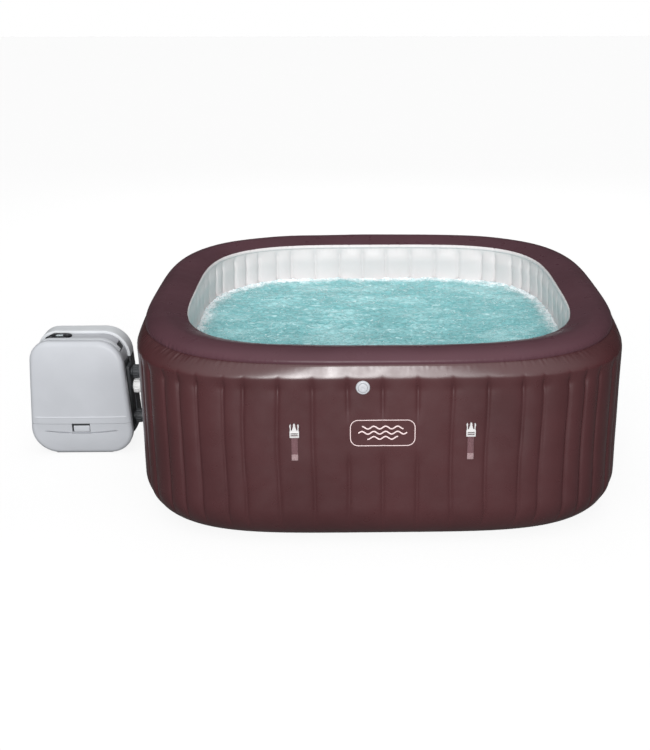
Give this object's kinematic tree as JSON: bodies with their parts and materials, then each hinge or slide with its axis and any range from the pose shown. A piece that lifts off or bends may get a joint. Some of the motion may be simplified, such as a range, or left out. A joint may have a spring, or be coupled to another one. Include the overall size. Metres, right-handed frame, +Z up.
{
  "type": "inflatable hot tub",
  "caption": "Square inflatable hot tub with a padded rim, white liner, cover straps, air valve and drain, joined by three couplings to a free-standing pump and heater unit.",
  "frame": {"origin": "middle of the tub's underside, on the floor", "axes": "+Z up, -Y is the front with the air valve and the two front straps, -X is the side where the pump unit stands"},
  "size_m": [2.6235, 2.0315, 0.8],
  "materials": {
    "plum_pvc": "satin",
    "plum_rim_pvc": "satin",
    "white_pvc": "satin",
    "grey_base_pvc": "matte",
    "grey_shell": "satin",
    "mid_grey_plastic": "satin",
    "dark_plastic": "matte",
    "white_plastic": "gloss",
    "pale_plastic": "gloss",
    "black_gloss_plastic": "gloss",
    "webbing": "matte",
    "steel": "satin",
    "circuit_board": "satin",
    "filter_fabric": "matte"
  },
  "bodies": {
    "tub_and_pump": {"air_blower": "mid_grey_plastic", "air_channel": "white_pvc", "air_valve_body": "white_plastic", "base_plate": "dark_plastic", "base_sheet": "grey_base_pvc", "centre_frame": "mid_grey_plastic", "circuit_box": "circuit_board", "control_panel": "black_gloss_plastic", "cord_gland": "dark_plastic", "display_window": "white_plastic", "drain_fitting": "white_plastic", "filter_cartridge": "filter_fabric", "heater_tube": "steel", "inner_liner": "white_pvc", "intake_screen_1": "mid_grey_plastic", "intake_screen_2": "mid_grey_plastic", "jet_pipe": "mid_grey_plastic", "lower_front_shell": "grey_shell", "outer_wall": "plum_pvc", "port_block": "dark_plastic", "pump_motor": "steel", "rear_shell": "grey_shell", "tension_web": "white_pvc", "top_rail": "grey_shell", "top_rim": "plum_rim_pvc", "tub_floor": "white_pvc", "vent_grille_left": "dark_plastic", "vent_grille_right": "dark_plastic", "volute": "dark_plastic", "wall_fitting_1": "white_plastic", "wall_fitting_2": "white_plastic", "wall_fitting_3": "white_plastic"},
    "air_valve_cap": {"air_valve_cap": "white_plastic"},
    "drain_cap_outer": {"drain_cap_outer": "white_plastic"},
    "drain_cap_inner": {"drain_cap_inner": "white_plastic"},
    "strap_1": {"strap_1": "webbing"},
    "buckle_1": {"buckle_1": "white_plastic"},
    "strap_2": {"strap_2": "webbing"},
    "buckle_2": {"buckle_2": "white_plastic"},
    "strap_3": {"strap_3": "webbing"},
    "buckle_3": {"buckle_3": "white_plastic"},
    "strap_4": {"strap_4": "webbing"},
    "buckle_4": {"buckle_4": "white_plastic"},
    "coupling_nut_1": {"coupling_nut_1": "dark_plastic"},
    "coupling_nut_2": {"coupling_nut_2": "white_plastic"},
    "coupling_nut_3": {"coupling_nut_3": "dark_plastic"},
    "jet_nozzle_1": {"jet_nozzle_1": "pale_plastic"},
    "jet_nozzle_2": {"jet_nozzle_2": "pale_plastic"},
    "jet_nozzle_3": {"jet_nozzle_3": "pale_plastic"},
    "jet_nozzle_4": {"jet_nozzle_4": "pale_plastic"},
    "front_cover": {"front_cover": "grey_shell"},
    "latch_tab": {"latch_tab": "grey_shell"},
    "button_power": {"button_power": "dark_plastic"},
    "button_bubbles": {"button_bubbles": "dark_plastic"},
    "button_jets": {"button_jets": "dark_plastic"},
    "button_heat": {"button_heat": "dark_plastic"},
    "button_up": {"button_up": "dark_plastic"},
    "button_down": {"button_down": "dark_plastic"},
    "impeller": {"impeller": "mid_grey_plastic"},
    "blower_fan": {"blower_fan": "white_plastic"}
  },
  "joints": [
    {"name": "air_valve_cap_twist", "type": "hinge", "parent": "tub_and_pump", "child": "air_valve_cap", "pos_m": [-0.074, -1.0175, 0.67], "axis": [0, -1, 0], "range_deg": [0, 720]},
    {"name": "drain_cap_outer_twist", "type": "hinge", "parent": "tub_and_pump", "child": "drain_cap_outer", "pos_m": [1.0171, 0.2, 0.135], "axis": [1, 0, 0], "range_deg": [0, 720]},
    {"name": "drain_cap_inner_twist", "type": "hinge", "parent": "tub_and_pump", "child": "drain_cap_inner", "pos_m": [0.8037, 0.2, 0.135], "axis": [-1, 0, 0], "range_deg": [0, 720]},
    {"name": "strap_1_swing", "type": "hinge", "parent": "tub_and_pump", "child": "strap_1", "pos_m": [-0.333, -1.0055, 0.4615], "axis": [-1, 0, 0], "range_deg": [0, 75]},
    {"name": "buckle_1_swing", "type": "hinge", "parent": "tub_and_pump", "child": "buckle_1", "pos_m": [-0.333, -1.009, 0.47], "axis": [1, 0, 0], "range_deg": [0, 80]},
    {"name": "strap_2_swing", "type": "hinge", "parent": "tub_and_pump", "child": "strap_2", "pos_m": [0.333, -1.0055, 0.4615], "axis": [-1, 0, 0], "range_deg": [0, 75]},
    {"name": "buckle_2_swing", "type": "hinge", "parent": "tub_and_pump", "child": "buckle_2", "pos_m": [0.333, -1.009, 0.47], "axis": [1, 0, 0], "range_deg": [0, 80]},
    {"name": "strap_3_swing", "type": "hinge", "parent": "tub_and_pump", "child": "strap_3", "pos_m": [-0.333, 1.0055, 0.4615], "axis": [1, 0, 0], "range_deg": [0, 75]},
    {"name": "buckle_3_swing", "type": "hinge", "parent": "tub_and_pump", "child": "buckle_3", "pos_m": [-0.333, 1.009, 0.47], "axis": [-1, 0, 0], "range_deg": [0, 80]},
    {"name": "strap_4_swing", "type": "hinge", "parent": "tub_and_pump", "child": "strap_4", "pos_m": [0.333, 1.0055, 0.4615], "axis": [1, 0, 0], "range_deg": [0, 75]},
    {"name": "buckle_4_swing", "type": "hinge", "parent": "tub_and_pump", "child": "buckle_4", "pos_m": [0.333, 1.009, 0.47], "axis": [-1, 0, 0], "range_deg": [0, 80]},
    {"name": "coupling_nut_1_twist", "type": "hinge", "parent": "tub_and_pump", "child": "coupling_nut_1", "pos_m": [-1.105, 0.045, 0.362], "axis": [1, 0, 0], "range_deg": [0, 720]},
    {"name": "coupling_nut_2_twist", "type": "hinge", "parent": "tub_and_pump", "child": "coupling_nut_2", "pos_m": [-1.105, 0.045, 0.292], "axis": [1, 0, 0], "range_deg": [0, 720]},
    {"name": "coupling_nut_3_twist", "type": "hinge", "parent": "tub_and_pump", "child": "coupling_nut_3", "pos_m": [-1.105, 0.045, 0.142], "axis": [1, 0, 0], "range_deg": [0, 720]},
    {"name": "jet_nozzle_1_turn", "type": "hinge", "parent": "tub_and_pump", "child": "jet_nozzle_1", "pos_m": [-0.24, -0.826, 0.3], "axis": [0, -1, 0], "range_deg": [-180, 180]},
    {"name": "jet_nozzle_2_turn", "type": "hinge", "parent": "tub_and_pump", "child": "jet_nozzle_2", "pos_m": [0.24, -0.826, 0.3], "axis": [0, -1, 0], "range_deg": [-180, 180]},
    {"name": "jet_nozzle_3_turn", "type": "hinge", "parent": "tub_and_pump", "child": "jet_nozzle_3", "pos_m": [-0.24, 0.826, 0.3], "axis": [0, 1, 0], "range_deg": [-180, 180]},
    {"name": "jet_nozzle_4_turn", "type": "hinge", "parent": "tub_and_pump", "child": "jet_nozzle_4", "pos_m": [0.24, 0.826, 0.3], "axis": [0, 1, 0], "range_deg": [-180, 180]},
    {"name": "front_cover_swing", "type": "hinge", "parent": "tub_and_pump", "child": "front_cover", "pos_m": [-1.3655, -0.045, 0.545], "axis": [-1, 0, 0], "range_deg": [0, 75]},
    {"name": "latch_tab_press", "type": "slide", "parent": "front_cover", "child": "latch_tab", "axis": [0, 1, 0], "range_m": [0, 0.004], "stiffness_N_per_m": 400},
    {"name": "button_power_press", "type": "slide", "parent": "tub_and_pump", "child": "button_power", "axis": [0, 0, -1], "range_m": [0, 0.0008], "stiffness_N_per_m": 300},
    {"name": "button_bubbles_press", "type": "slide", "parent": "tub_and_pump", "child": "button_bubbles", "axis": [0, 0, -1], "range_m": [0, 0.0008], "stiffness_N_per_m": 300},
    {"name": "button_jets_press", "type": "slide", "parent": "tub_and_pump", "child": "button_jets", "axis": [0, 0, -1], "range_m": [0, 0.0008], "stiffness_N_per_m": 300},
    {"name": "button_heat_press", "type": "slide", "parent": "tub_and_pump", "child": "button_heat", "axis": [0, 0, -1], "range_m": [0, 0.0008], "stiffness_N_per_m": 300},
    {"name": "button_up_press", "type": "slide", "parent": "tub_and_pump", "child": "button_up", "axis": [0, 0, -1], "range_m": [0, 0.0008], "stiffness_N_per_m": 300},
    {"name": "button_down_press", "type": "slide", "parent": "tub_and_pump", "child": "button_down", "axis": [0, 0, -1], "range_m": [0, 0.0008], "stiffness_N_per_m": 300},
    {"name": "impeller_spin", "type": "hinge", "parent": "tub_and_pump", "child": "impeller", "pos_m": [-1.395, 0.125, 0.105], "axis": [1, 0, 0], "continuous": true},
    {"name": "blower_fan_spin", "type": "hinge", "parent": "tub_and_pump", "child": "blower_fan", "pos_m": [-1.392, 0.125, 0.385], "axis": [1, 0, 0], "continuous": true}
  ]
}
